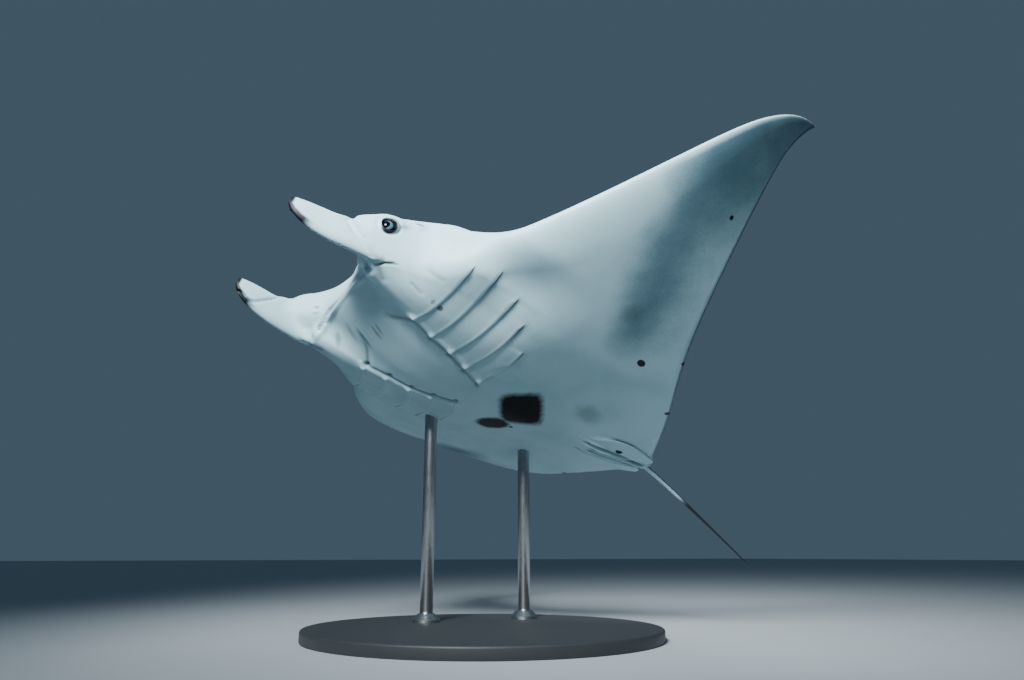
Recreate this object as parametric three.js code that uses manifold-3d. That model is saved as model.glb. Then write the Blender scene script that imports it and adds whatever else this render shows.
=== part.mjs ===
// Manta ray, life size, as a still museum model on a plain two-rod display stand.
// Millimetres, +Z up.  The origin is the middle of the underside of the stand's base.
//
// The animal is first described flat, in its own frame: x forward from the mouth, y to its
// left, z up through its back.  Its wings are then bent and twisted, and the whole body is
// pitched, banked and lifted into its place above the base.
import * as THREE from 'three';
import Module from 'manifold-3d';
import { mergeVertices } from 'three/addons/utils/BufferGeometryUtils.js';

const wasm = await Module();
wasm.setup();

// ---------------------------------------------------------------- driving dimensions
const HALF_SPAN = 1575;            // middle line to wing tip, measured on the flat wing
const WING_ROOT = 430;             // middle line to the root of the free wing
const HUMP_X = -510;               // the trunk is thickest here
const TIP_INSET = 8;               // the last wing section stands this far inside the tip
const TIP_DROOP = 20;              // the tip hangs this far below the plane of the flat wing
const ROOT_X = -332;               // front of the wing root, without its shoulder
const SHOULDER = 40;               // the shoulder fills the corner of head and wing by this
const SHOULDER_HEIGHT = 58;        // height of the front edge at the shoulder
const GAP = 0.3;                   // clearance between neighbouring solids

const WING_BEND_START = 350;       // inside this the body is stiff
const BEND_AT_ROOT = { left: 0.30, right: 0.36 };   // radians, the quick rise just outside the body
const BEND_LINEAR = 0.286;         // radians more at the tip, growing evenly
const BEND_SQUARE = 0.384;         // radians more at the tip, growing towards it
const BEND_ROOT_LENGTH = 150;
const TIP_TWIST = -0.556;          // radians, leading edge turned down at the tip
const TWIST_AXIS_X = -750;

const PITCH = THREE.MathUtils.degToRad(23.6);    // nose up
const BANK = THREE.MathUtils.degToRad(17.5);     // left wing up
const BODY_CENTRE = new THREE.Vector3(-700, 0, 0);
const CENTRE_HEIGHT = 960;         // of the body's centre above the floor

const BASE_RADIUS = 620;
const BASE_THICK = 40;
const BASE_BEVEL = 8;
const ROD_RADIUS = 24;
const COLLAR_RADIUS = 52;
const COLLAR_HEIGHT = 30;
// where each rod meets the underside, in the animal's flat frame
const ROD_FEET = { front: [-620, -270], rear: [-1060, -250] };

const EYE_RADIUS = 25;
const EYE_CENTRE = [-86, 312, 22];

// Half of the head's outline, from the middle of the upper jaw round the fin root and the
// eye to the wing root.  Each row: x and y of the edge point, x and y of the point that its
// line over the back bends through, y where that line reaches the rear edge, height of the edge.
const HEAD_OUTLINE = [
  [-100, 0, -550, 0, 0, 20],
  [-90, 80, -450, 60, 40, 20],
  [-70, 150, -350, 105, 75, 22],
  [-32, 205, -260, 140, 100, 10],
  [14, 245, -200, 165, 120, -12],
  [22, 285, -190, 185, 145, -20],
  [-25, 313, -220, 200, 175, -5],
  [-85, 328, -270, 220, 210, 18],
  [-147, 340, -330, 250, 245, 45],
  [-203, 360, -400, 285, 285, 64],
  [-250, 397, -500, 335, 335, 72],
  [ROOT_X + SHOULDER, WING_ROOT, -630, WING_ROOT, WING_ROOT, SHOULDER_HEIGHT],
];
const HEAD_LAST = HEAD_OUTLINE.length - 1;

// ---------------------------------------------------------------- colours
const SKIN_PALE = { color: 0xcfe0e2, roughness: 0.55, metalness: 0 };
const SKIN_GREY = { color: 0x5f8794, roughness: 0.55, metalness: 0 };
const EYE_DARK = { color: 0x0b1216, roughness: 0.12, metalness: 0 };
const STAND_PAINT = { color: 0x2f3336, roughness: 0.5, metalness: 0.1 };
const STAND_STEEL = { color: 0xb4b8ba, roughness: 0.3, metalness: 1 };

// ---------------------------------------------------------------- small helpers
const clamp01 = (x) => Math.min(1, Math.max(0, x));
const smooth = (from, to, x) => {
  const s = clamp01((x - from) / (to - from));
  return s * s * (3 - 2 * s);
};
const mix = (a, b, s) => a + (b - a) * s;
// quarter-circle rise from 0 at the edge to 1 at a distance of one radius
const quarterRound = (s) => Math.sqrt(clamp01(s) * (2 - clamp01(s)));
const bell = (x, width, power = 2) => Math.exp(-(Math.abs(x / width) ** power));

// ---------------------------------------------------------------- flat outline
const leadingX = (y) => {
  const u = (y - WING_ROOT) / (HALF_SPAN - WING_ROOT);
  return ROOT_X + SHOULDER * Math.exp(-u / 0.06) - 577 * u - 157 * u ** 4 - 139 * u ** 12;
};
const trailingX = (y) => {
  const v = y / HALF_SPAN;
  return -1515 + 1279 * v - 1064 * v ** 2 + 310 * v ** 3 - 215 * v ** 9 - 45 * bell(y - 245, 245);
};

// Front of the chord that the body thins along: the wing's edge, or the mouth near the middle.
const chordFront = (y) => mix(-80, leadingX(Math.max(y, WING_ROOT)), smooth(180, WING_ROOT, y));

function wingStation(y) {
  const front = leadingX(y);
  const edgeZ = SHOULDER_HEIGHT * (1 - smooth(WING_ROOT, 625, y));
  return [front, y, mix(front, trailingX(y), 1 / 3), y, y, edgeZ];
}

// A smooth curve through the rows of the head outline, mirrored before its first row.
function headStation(k) {
  const i = Math.min(HEAD_LAST - 1, Math.floor(k));
  const s = k - i;
  const rows = [
    i > 0 ? HEAD_OUTLINE[i - 1] : HEAD_OUTLINE[1].map((v, n) => (n % 2 === 1 || n === 4 ? -v : v)),
    HEAD_OUTLINE[i],
    HEAD_OUTLINE[i + 1],
    i + 2 <= HEAD_LAST ? HEAD_OUTLINE[i + 2] : wingStation(500),
  ];
  if (i === 0) rows[0][5] = HEAD_OUTLINE[1][5];
  return rows[1].map((start, n) => {
    const end = rows[2][n];
    const slopeIn = (end - rows[0][n]) / 2;
    const slopeOut = (rows[3][n] - start) / 2;
    return (2 * s ** 3 - 3 * s ** 2 + 1) * start + (s ** 3 - 2 * s ** 2 + s) * slopeIn
      + (-2 * s ** 3 + 3 * s ** 2) * end + (s ** 3 - s ** 2) * slopeOut;
  });
}

// ---------------------------------------------------------------- thickness of the disc
const wingnessOf = (number) => smooth(0.85 * HEAD_LAST, 1.5 * HEAD_LAST, number);

// How far the skin has risen from the front edge: 0 at the edge to 1 well behind it.  The
// front between the horns is blunt and then rises slowly; elsewhere the edge is round.
function noseRise(number, fromFront, chord, side) {
  const round = quarterRound(fromFront / mix(85, 0.33 * chord + 1, wingnessOf(number)));
  const blunt = quarterRound(fromFront / 30);
  const slow = side > 0 ? 1 - (1 - clamp01(fromFront / 380)) ** 1.6 : quarterRound(fromFront / 350);
  const front = side > 0 ? mix(slow, blunt, 0.5) : mix(slow, blunt, 0.45);
  return mix(front, round, smooth(2.5, 5.5, number));
}

// One point of the disc's skin.  station: a row as above; number: its place in the outline;
// t: 0 at the front edge, 1 at the rear; side: +1 for the back, -1 for the belly; mirror: +1
// left, -1 right.
function discPoint(station, number, t, side, mirror) {
  const [frontX, frontY, bendX, bendY, rearY, edgeZ] = station;
  const rearX = trailingX(rearY);
  const thirdX = mix(rearX, frontX, 1 / 3);
  const s = 1 - t;
  const blend = [s ** 3, 3 * s * s * t, 3 * s * t * t, t ** 3];
  const x = blend[0] * frontX + blend[1] * bendX + blend[2] * thirdX + blend[3] * rearX;
  const y = blend[0] * frontY + blend[1] * bendY + blend[2] * rearY + blend[3] * rearY;
  const fromFront = Math.hypot(x - frontX, y - frontY);
  const fromRear = Math.hypot(x - rearX, y - rearY);
  const nose = noseRise(number, fromFront, Math.hypot(rearX - frontX, rearY - frontY), side);
  const behind = (chordFront(y) - x) / (chordFront(y) - trailingX(y));
  const fall = 1 - clamp01((behind - 0.3) / 0.7) ** 1.7;
  const wing = 4 + 112 * (1 - Math.min(1, y / HALF_SPAN)) ** 1.5;
  const rim = 3.5 * quarterRound(fromFront / 5) * quarterRound(fromRear / 4);
  const ahead = x > HUMP_X;
  const hump = side > 0
    ? 80 * bell(x - HUMP_X, ahead ? 360 : 520) * bell(y, 370, 2.4)
    : 75 * bell(x - HUMP_X, ahead ? 390 : 560) * bell(y, 340, 2.6);
  const root = (side > 0 ? 20 : 30) * bell(x + 1230, 230) * bell(y, 130) * quarterRound(fromRear / 70);
  const flank = side > 0 ? 0 : 60 * bell(x + 300, 170) * bell(y - 370, 120) * quarterRound(fromFront / 50);
  const rise = wing * (side > 0 ? 0.95 : 0.85) * nose * fall + hump * Math.sqrt(fall) * nose
    + root + flank + rim;
  const z = edgeZ * (1 - smooth(0, 0.5, t)) + side * rise - TIP_DROOP * smooth(1300, HALF_SPAN, y);
  // the corner of the mouth is hollow under the root of the horn
  const hollow = 60 * bell(y - 235, 45) * smooth(-25, -80, z) * smooth(-150, -10, x);
  return new THREE.Vector3(x - hollow, mirror * y, z);
}

// ---------------------------------------------------------------- bend and pose
const BEND_STEPS = 40;

function wingAngle(out, atRoot) {
  const u = out / (HALF_SPAN - WING_BEND_START);
  return atRoot * (1 - Math.exp(-out / BEND_ROOT_LENGTH)) + BEND_LINEAR * u + BEND_SQUARE * u * u;
}

function bendWing(point) {
  const mirror = point.y < 0 ? -1 : 1;
  const atRoot = mirror < 0 ? BEND_AT_ROOT.right : BEND_AT_ROOT.left;
  const out = Math.max(0, Math.abs(point.y) - WING_BEND_START);
  if (out === 0) return point.clone();
  let along = 0;
  let up = 0;
  for (let i = 0; i < BEND_STEPS; i += 1) {
    const angle = wingAngle(out * (i + 0.5) / BEND_STEPS, atRoot);
    along += Math.cos(angle) * out / BEND_STEPS;
    up += Math.sin(angle) * out / BEND_STEPS;
  }
  const twist = TIP_TWIST * (out / (HALF_SPAN - WING_BEND_START)) ** 2;
  const x = (point.x - TWIST_AXIS_X) * Math.cos(twist) - point.z * Math.sin(twist);
  const z = (point.x - TWIST_AXIS_X) * Math.sin(twist) + point.z * Math.cos(twist);
  const angle = wingAngle(out, atRoot);
  return new THREE.Vector3(TWIST_AXIS_X + x, mirror * (WING_BEND_START + along - z * Math.sin(angle)),
    up + z * Math.cos(angle));
}

// The animal heads along -Y, its left wing towards +X.
const forward = new THREE.Vector3(0, -Math.cos(PITCH), Math.sin(PITCH));
const level = new THREE.Vector3(0, Math.sin(PITCH), Math.cos(PITCH));
const left = new THREE.Vector3(Math.cos(BANK), 0, 0).addScaledVector(level, Math.sin(BANK));
const upward = new THREE.Vector3().crossVectors(forward, left);
const pose = new THREE.Matrix4().makeBasis(forward, left, upward);
pose.setPosition(new THREE.Vector3(0, 0, CENTRE_HEIGHT).sub(BODY_CENTRE.clone().applyMatrix4(pose)));

const place = (point) => bendWing(point).applyMatrix4(pose);

// ---------------------------------------------------------------- solids from sections
// Each section is { upper, lower }: two rows of points that meet the neighbouring section's.
// Rows whose end points coincide close to an edge; the others get a wall.
function loft(sections) {
  const corners = [];
  const triangle = (a, b, c) => {
    if (a.distanceTo(b) > 1e-3 && b.distanceTo(c) > 1e-3 && c.distanceTo(a) > 1e-3) {
      corners.push(a, b, c);
    }
  };
  const quad = (a, b, c, d) => {
    triangle(a, b, c);
    triangle(a, c, d);
  };
  const last = sections[0].upper.length - 1;
  for (let i = 0; i + 1 < sections.length; i += 1) {
    const [here, next] = [sections[i], sections[i + 1]];
    for (let j = 0; j < last; j += 1) {
      quad(here.upper[j], here.upper[j + 1], next.upper[j + 1], next.upper[j]);
      quad(here.lower[j], next.lower[j], next.lower[j + 1], here.lower[j + 1]);
    }
    quad(here.upper[0], next.upper[0], next.lower[0], here.lower[0]);
    quad(here.upper[last], here.lower[last], next.lower[last], next.upper[last]);
  }
  for (let j = 0; j < last; j += 1) {
    const [start, end] = [sections[0], sections[sections.length - 1]];
    quad(start.upper[j], start.lower[j], start.lower[j + 1], start.upper[j + 1]);
    quad(end.upper[j], end.upper[j + 1], end.lower[j + 1], end.lower[j]);
  }
  const geometry = new THREE.BufferGeometry().setFromPoints(corners);
  return mergeVertices(geometry, 1e-3);
}

// Sections of the disc between two front-to-rear fractions.
function discSection(station, number, mirror, rows) {
  return {
    upper: rows.map((t) => place(discPoint(station, number, t, 1, mirror))),
    lower: rows.map((t) => place(discPoint(station, number, t, -1, mirror))),
  };
}

// Row positions between two fractions, packed towards a front edge where the skin curves most.
function rowsBetween(from, to, count) {
  return Array.from({ length: count + 1 }, (_, j) => {
    const s = j / count;
    return from === 0 ? to * s ** 1.7 : mix(from, to, s);
  });
}

const STATION_PITCH = (HALF_SPAN - WING_ROOT) / (HEAD_LAST * 0.55 / 0.45);

// The stiff middle of the disc: right wing root, round the head, to the left wing root.
function middlePiece(rows) {
  const steps = 2 * HEAD_LAST;
  const inset = GAP / 60;
  const sections = [];
  for (let i = -steps; i <= steps; i += 1) {
    const number = Math.min(Math.abs(i) / 2, HEAD_LAST - inset);
    const mirror = i > 0 ? -1 : 1;
    sections.push(discSection(headStation(number), number, mirror, rows));
  }
  return loft(sections);
}

// A free wing from one distance out to another.
function wingPiece(from, to, steps, mirror) {
  const rows = rowsBetween(0, 1, 14);
  const sections = [];
  for (let i = 0; i <= steps; i += 1) {
    const y = mix(from, to, 1 - (1 - i / steps) ** 1.3);
    const number = HEAD_LAST + (y - WING_ROOT) / STATION_PITCH;
    sections.push(discSection(wingStation(y), number, mirror, rows));
  }
  return loft(mirror > 0 ? sections.reverse() : sections);
}

// A closed tube of oval sections.  rings: { centre, across, high } where across and high are
// half-axis vectors; neighbouring rings face along the tube.
const RING_HALF = 6;
function tube(rings) {
  const sections = rings.map(({ centre, across, high }) => {
    const row = (sign) => Array.from({ length: RING_HALF + 1 }, (_, j) => {
      const angle = Math.PI * j / RING_HALF;
      return place(centre.clone().addScaledVector(across, Math.cos(angle))
        .addScaledVector(high, sign * Math.sin(angle)));
    });
    return { upper: row(1), lower: row(-1) };
  });
  return loft(sections);
}

// ---------------------------------------------------------------- cutting
function toManifold(geometry) {
  return new wasm.Manifold(new wasm.Mesh({
    numProp: 3,
    vertProperties: new Float32Array(geometry.attributes.position.array),
    triVerts: new Uint32Array(geometry.index.array),
  }));
}

function fromManifold(solid) {
  const mesh = solid.getMesh();
  const geometry = new THREE.BufferGeometry();
  geometry.setAttribute('position', new THREE.BufferAttribute(mesh.vertProperties, 3));
  geometry.setIndex(new THREE.BufferAttribute(mesh.triVerts, 1));
  return geometry;
}

// Cuts the neighbours out of a piece, with clearance on every side of them.
const NO_SHIFT = [[0, 0, 0]];
const CLEARANCES = [[0, 0, 0], [1, 0, 0], [-1, 0, 0], [0, 1, 0], [0, -1, 0], [0, 0, 1], [0, 0, -1]]
  .map((direction) => direction.map((d) => d * GAP * 1.5));

function cutAway(geometry, neighbours, shifts = CLEARANCES) {
  let solid = toManifold(geometry);
  for (const neighbour of neighbours) {
    const tool = toManifold(neighbour);
    for (const shift of shifts) solid = solid.subtract(tool.translate(shift));
  }
  const pieces = solid.decompose().sort((a, b) => b.volume() - a.volume());
  return fromManifold(pieces[0]);
}

// ---------------------------------------------------------------- fins, tail and eyes
// The cephalic fins are rolled into horns that point straight ahead.  Each row: x, height of
// the upper edge, height of the lower edge, distance from the middle line, half the thickness.
const HORN_ROWS = [
  [-110, -58, -90, 285, 14],
  [-74, -40, -102, 283, 20],
  [-35, -26, -110, 280, 24],
  [10, -12, -116, 275, 26],
  [50, -7, -117, 269, 26],
  [90, -6, -114, 263, 24],
  [130, -9, -108, 258, 21],
  [165, -13, -98, 254, 17],
  [192, -18, -83, 251, 12],
  [208, -22, -66, 250, 7],
  [216, -29, -52, 249, 3],
];

function horn(mirror) {
  const rings = HORN_ROWS.map(([x, top, bottom, y, thick]) => ({
    centre: new THREE.Vector3(x, mirror * y, (top + bottom) / 2),
    across: new THREE.Vector3(0, thick, 0),
    high: new THREE.Vector3(0, 0, (top - bottom) / 2),
  }));
  return tube(rings);
}

// The pelvic fins are two small lobes beside the vent, reaching a little past the rear edge.
const PELVIC = { front: -1190, rear: -1510, inner: 24, width: 92, half: 7 };

function pelvicFin(mirror) {
  const steps = 10;
  const rings = Array.from({ length: steps + 1 }, (_, i) => {
    const s = i / steps;
    const swell = Math.sin(Math.PI * mix(0.04, 0.93, s ** 0.8));
    return {
      centre: new THREE.Vector3(mix(PELVIC.front, PELVIC.rear, s),
        mirror * (PELVIC.inner + PELVIC.width * mix(0.62, 0.4, s) * mix(0.5, 1, swell)),
        mix(-62, -14, s)),
      across: new THREE.Vector3(0, PELVIC.width * 0.5 * swell + 2, 0),
      high: new THREE.Vector3(0, 0, PELVIC.half * swell + 2),
    };
  });
  return tube(rings.reverse());
}

// The dorsal fin is a small upright blade just ahead of the tail.
const DORSAL = { front: -1350, rear: -1498, height: 66, half: 6 };

function dorsalFin() {
  const steps = 6;
  const rings = Array.from({ length: steps + 1 }, (_, i) => {
    const s = i / steps;
    const sweep = 62 * s ** 1.3;
    const length = (DORSAL.front - DORSAL.rear) * (1 - s) ** 0.75 * 0.5 + 9;
    return {
      centre: new THREE.Vector3(DORSAL.front - sweep - (DORSAL.front - DORSAL.rear) * 0.5 * (1 - 0.15 * s),
        0, mix(12, DORSAL.height + 24, s)),
      across: new THREE.Vector3(-length, 0, 0),
      high: new THREE.Vector3(0, DORSAL.half * (1 - 0.75 * s), 0),
    };
  });
  return tube(rings.reverse());
}

// The tail is a tapering whip, drooping a little.
const TAIL = { front: -1462, rear: -2089, droop: 176, frontRadius: 16, tipRadius: 3.5 };

function tailPiece(from, to) {
  const steps = 6;
  const rings = Array.from({ length: steps + 1 }, (_, i) => {
    const s = mix(from, to, i / steps);
    const radius = mix(TAIL.tipRadius, TAIL.frontRadius, (1 - s) ** 1.5);
    return {
      centre: new THREE.Vector3(mix(TAIL.front, TAIL.rear, s), 0, -4 - TAIL.droop * s ** 1.15),
      across: new THREE.Vector3(0, radius, 0),
      high: new THREE.Vector3(0, 0, radius * 0.85),
    };
  });
  return tube(rings.reverse());
}

function eyeball(mirror, radius) {
  const [x, y, z] = EYE_CENTRE;
  const centre = place(new THREE.Vector3(x, mirror * y, z));
  const ball = new THREE.SphereGeometry(radius, 14, 10);
  ball.deleteAttribute('normal');
  ball.deleteAttribute('uv');
  return mergeVertices(ball.translate(centre.x, centre.y, centre.z), 1e-3);
}

// ---------------------------------------------------------------- the display stand
function standBase() {
  const profile = [
    [0, 0],
    [BASE_RADIUS - BASE_BEVEL / 2, 0],
    [BASE_RADIUS, BASE_BEVEL / 2],
    [BASE_RADIUS, BASE_THICK - BASE_BEVEL],
    [BASE_RADIUS - BASE_BEVEL, BASE_THICK],
    [0, BASE_THICK],
  ].map(([radius, height]) => new THREE.Vector2(radius, height));
  return closed(new THREE.LatheGeometry(profile, 60).rotateX(Math.PI / 2));
}

function closed(geometry) {
  geometry.deleteAttribute('normal');
  geometry.deleteAttribute('uv');
  return mergeVertices(geometry, 1e-3);
}

function standRod([x, y]) {
  const foot = place(new THREE.Vector3(x, y, 0));
  const bottom = BASE_THICK + GAP;
  const rod = new THREE.CylinderGeometry(ROD_RADIUS, ROD_RADIUS, foot.z - bottom, 24);
  rod.rotateX(Math.PI / 2).translate(foot.x, foot.y, (foot.z + bottom) / 2);
  return closed(rod);
}

function standCollar([x, y]) {
  const foot = place(new THREE.Vector3(x, y, 0));
  const bore = ROD_RADIUS + GAP;
  const profile = [
    [bore, 0],
    [COLLAR_RADIUS, 0],
    [COLLAR_RADIUS, COLLAR_HEIGHT * 0.4],
    [bore + 8, COLLAR_HEIGHT],
    [bore, COLLAR_HEIGHT],
    [bore, 0],
  ].map(([radius, height]) => new THREE.Vector2(radius, height));
  const ring = new THREE.LatheGeometry(profile, 24).rotateX(Math.PI / 2);
  return closed(ring.translate(foot.x, foot.y, BASE_THICK + GAP));
}

// ---------------------------------------------------------------- the whole model
const NECK = 0.26;                 // head, front and rear of the trunk meet at these fractions
const WAIST = 0.6;
const SLIT = 0.00015;
const MID_WING = 900;              // where inner and outer wing meet

const headRaw = middlePiece(rowsBetween(0, NECK - SLIT, 7));
const trunkFront = middlePiece(rowsBetween(NECK + SLIT, WAIST - SLIT, 5));
const trunkRear = middlePiece(rowsBetween(WAIST + SLIT, 1, 6));
const sockets = [1, -1].map((mirror) => eyeball(mirror, EYE_RADIUS + GAP));
const head = cutAway(headRaw, sockets, NO_SHIFT);

const manta = new THREE.Group();

function add(name, geometry, look) {
  const mesh = new THREE.Mesh(geometry, new THREE.MeshStandardMaterial(look));
  mesh.name = name;
  manta.add(mesh);
}

add('head', head, SKIN_PALE);
add('trunk_front', trunkFront, SKIN_PALE);
add('trunk_rear', trunkRear, SKIN_PALE);
for (const [side, mirror] of [['left', 1], ['right', -1]]) {
  add(`wing_inner_${side}`, wingPiece(WING_ROOT + GAP, MID_WING, 7, mirror), SKIN_PALE);
  add(`wing_outer_${side}`, wingPiece(MID_WING + GAP, HALF_SPAN - TIP_INSET, 9, mirror), SKIN_GREY);
  add(`cephalic_fin_${side}`, cutAway(horn(mirror), [headRaw]), SKIN_PALE);
  add(`pelvic_fin_${side}`, cutAway(pelvicFin(mirror), [trunkRear, tailPiece(0, 0.3)]), SKIN_PALE);
  add(`eye_${side}`, eyeball(mirror, EYE_RADIUS), EYE_DARK);
}
add('dorsal_fin', cutAway(dorsalFin(), [trunkRear, tailPiece(0, 0.3)]), SKIN_GREY);
add('tail_base', cutAway(tailPiece(0, 0.3), [trunkRear]), SKIN_GREY);
add('tail_middle', tailPiece(0.3 + GAP / 400, 0.65), SKIN_GREY);
add('tail_tip', tailPiece(0.65 + GAP / 400, 1), SKIN_GREY);

add('stand_base', standBase(), STAND_PAINT);
for (const [name, foot] of Object.entries(ROD_FEET)) {
  add(`stand_rod_${name}`, cutAway(standRod(foot), [trunkFront, trunkRear, headRaw]), STAND_STEEL);
  add(`stand_collar_${name}`, standCollar(foot), STAND_STEEL);
}

export default manta;
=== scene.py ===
"""Manta ray: a life-size museum model, banking nose up on a round base with two slim rods.

Metres, +Z up.  The animal is shaped flat in its own frame (x forward, y to its left, z up
through its back, with the origin between the roots of its horn fins), joined into one skin, and
then bent and lifted into its pose.
"""
import math
import bmesh
import bpy
import numpy as np
from mathutils import Matrix, Vector


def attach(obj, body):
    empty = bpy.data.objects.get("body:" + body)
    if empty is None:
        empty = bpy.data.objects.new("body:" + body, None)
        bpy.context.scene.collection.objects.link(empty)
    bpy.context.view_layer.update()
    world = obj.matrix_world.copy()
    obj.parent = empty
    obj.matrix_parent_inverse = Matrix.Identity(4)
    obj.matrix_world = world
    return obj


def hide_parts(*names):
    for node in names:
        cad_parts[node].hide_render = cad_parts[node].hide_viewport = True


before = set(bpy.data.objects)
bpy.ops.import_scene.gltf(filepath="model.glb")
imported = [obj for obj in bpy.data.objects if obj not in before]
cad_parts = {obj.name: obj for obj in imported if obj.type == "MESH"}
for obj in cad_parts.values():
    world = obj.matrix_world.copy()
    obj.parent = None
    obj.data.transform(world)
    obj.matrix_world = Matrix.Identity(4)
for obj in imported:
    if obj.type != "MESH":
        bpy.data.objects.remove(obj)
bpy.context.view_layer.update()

bl_info = {
    "name": "Manta ray model",
    "version": (1, 0, 0),
    "blender": (4, 5, 0),
    "location": "3D View > Sidebar > Manta",
    "description": "Builds a life-size manta ray on a display stand",
    "category": "Add Mesh",
}

# ------------------------------------------------------------------ the flat animal, metres
# Stations round the head, from the middle of the mouth to the root of the left wing.  Front edge
# x, y; where its line to the rear bends x, y; rear edge y; height of the front edge
HEAD_OUTLINE = np.array([
    (-.100, .000, -.55, .000, .000, .020),
    (-.090, .080, -.45, .060, .040, .020),
    (-.070, .150, -.35, .105, .075, .022),
    (-.032, .205, -.26, .140, .100, .010),
    (.014, .245, -.20, .165, .120, -.012),
    (.022, .285, -.19, .185, .145, -.020),
    (-.025, .313, -.22, .200, .175, -.005),
    (-.085, .328, -.27, .220, .210, .018),
    (-.147, .340, -.33, .250, .245, .045),
    (-.203, .360, -.40, .285, .285, .064),
    (-.250, .397, -.50, .335, .335, .072),
    (-.292, .430, -.63, .430, .430, .058),
])
HEAD_LAST = len(HEAD_OUTLINE) - 1
HEAD_SHARE = .45  # of all the outline's stations
WING_STATIONS = HEAD_LAST * (1 - HEAD_SHARE) / HEAD_SHARE
WING_ROOT = .430
ROOT_X = -.332
SHOULDER = .040  # how far the front edge swells forward at the wing's root
SHOULDER_HEIGHT = .058
HALF_SPAN = 1.575
TIP_DROOP = .020
TIP_DRAW = .007  # share of its distance by which the tip is drawn in
HUMP_X = -.510  # where the body is deepest
STATION_PITCH = (HALF_SPAN - WING_ROOT) / WING_STATIONS

# Rolled horn fins.  x, upper edge, lower edge, distance from the middle line, half thickness
HORN_ROWS = np.array([
    (-.122, -.058, -.100, .288, .016),
    (-.080, -.040, -.109, .285, .021),
    (-.035, -.026, -.113, .280, .024),
    (.010, -.012, -.116, .275, .026),
    (.050, -.007, -.117, .269, .026),
    (.090, -.006, -.114, .263, .024),
    (.130, -.009, -.108, .258, .021),
    (.165, -.013, -.098, .254, .017),
    (.192, -.018, -.083, .251, .012),
    (.208, -.022, -.066, .250, .007),
    (.216, -.029, -.052, .249, .003),
])
PELVIC = {"front": -1.190, "rear": -1.505, "inner": .024, "width": .076, "half": .007}
DORSAL = {"front": -1.350, "rear": -1.498, "height": .066, "half": .006}
TAIL = {"front": -1.462, "rear": -2.089, "droop": .176, "root": .0115, "tip": .0035}

EYE = (-.086, .312, .022)
EYE_RADIUS = .025
EYE_PLAY = .0006  # between the eyeball and the sphere its socket is made for

# Gill slits, front to rear.  Outer end x, y; inner end x, y
GILLS = (
    (-.368, .436, -.316, .172),
    (-.454, .467, -.403, .150),
    (-.553, .425, -.492, .134),
    (-.626, .370, -.572, .105),
    (-.694, .285, -.650, .074),
)
GILL_BOW = .060  # four times how far a slit's middle lies behind a straight line
GILL_REACH = .50

MERGE = 2e-5  # vertices nearer than this become one
TINY = 1e-6  # edges shorter than this are dissolved


# ------------------------------------------------------------------ settings
def metres(name, description, default):
    return bpy.props.FloatProperty(
        name=name, description=description, default=default, unit="LENGTH", precision=4)


def degrees(name, description, default):
    return bpy.props.FloatProperty(
        name=name, description=description, default=math.radians(default), subtype="ANGLE")


def amount(name, description, default):
    return bpy.props.FloatProperty(name=name, description=description, default=default)


def srgb(hex_value):
    """A colour written as sRGB hex, as linear red, green and blue."""
    channels = [int(hex_value[i:i + 2], 16) / 255 for i in (1, 3, 5)]
    return tuple(c / 12.92 if c <= 0.04045 else ((c + 0.055) / 1.055) ** 2.4 for c in channels)


def colour(name, description, default):
    return bpy.props.FloatVectorProperty(
        name=name, description=description, default=srgb(default), subtype="COLOR",
        size=3, min=0, max=1)


class MantaPose(bpy.types.PropertyGroup):
    bend_start: metres("Bend start", "The body is stiff inside this distance from its middle", .350)
    bend_left: degrees("Left root bend", "Quick rise of the wing just outside the body", 17.19)
    bend_right: degrees("Right root bend", "Quick rise of the wing just outside the body", 20.63)
    bend_linear: degrees("Even bend", "Further rise at the tip, growing evenly", 16.39)
    bend_square: degrees("Tip bend", "Further rise at the tip, growing towards it", 22.0)
    twist: degrees("Tip twist", "The leading edge turns down at the tip by this", 31.86)
    pitch: degrees("Pitch", "Nose up", 23.6)
    bank: degrees("Bank", "Left wing up", 17.5)
    height: metres("Height", "Middle of the body above the floor", .960)


class MantaColours(bpy.types.PropertyGroup):
    belly: colour("Belly", "Pale underside", "#B4DAE5")
    belly_shade: colour("Belly shade", "Faint clouding of the underside", "#8DBAC8")
    smoke: colour("Smoke", "Grey margin of the wings and tips", "#4A7080")
    # the ink colour also paints shade: in the gill slits, creases, pits, the mouth, the vent's
    # folds and round the eyes
    ink: colour("Ink", "Spots, slits and the rims of the eyes", "#080E15")
    back: colour("Back", "Dark upper side", "#1E252B")
    shoulder: colour("Shoulder", "Pale patches over the shoulders", "#8FA0A6")
    iris: colour("Iris", "Pale ring of the eye", "#4C7482")


class StandSettings(bpy.types.PropertyGroup):
    base_radius: metres("Base radius", "Half the width of the round base", .620)
    base_thick: metres("Base thickness", "Height of the base", .040)
    rod_radius: metres("Rod radius", "Half the width of each rod", .024)
    collar_radius: metres("Collar radius", "Half the width of the collar round a rod", .052)
    collar_height: metres("Collar height", "How far a collar stands above the base", .030)
    paint: colour("Paint", "Powder coat of the base", "#2F3336")
    steel: colour("Steel", "Brushed rods and collars", "#B4B8BA")


class StageSettings(bpy.types.PropertyGroup):
    floor: colour("Floor", "Plain pale floor and backdrop", "#A6B0B6")
    key_watts: amount("Key", "Power of the light above and beside the camera, watts", 92)
    top_watts: amount("Top", "Power of the light over the back, watts", 13)
    ambient: amount("Ambient", "Strength of the light from all round", .135)


# ------------------------------------------------------------------ shaping functions
def smooth(start, end, x):
    """Eases from 0 where x is start to 1 where x is end."""
    s = np.clip((x - start) / (end - start), 0, 1)
    return s * s * (3 - 2 * s)


def mix(a, b, s):
    return a + (b - a) * s


def quarter_round(s):
    """Rises from 0 at an edge to 1 at a distance of one radius, as a quarter circle does."""
    s = np.clip(s, 0, 1)
    return np.sqrt(s * (2 - s))


def bell(x, width, power=2.0):
    """Is 1 where x is 0 and falls off on both sides."""
    return np.exp(-np.abs(x / width) ** power)


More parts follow.
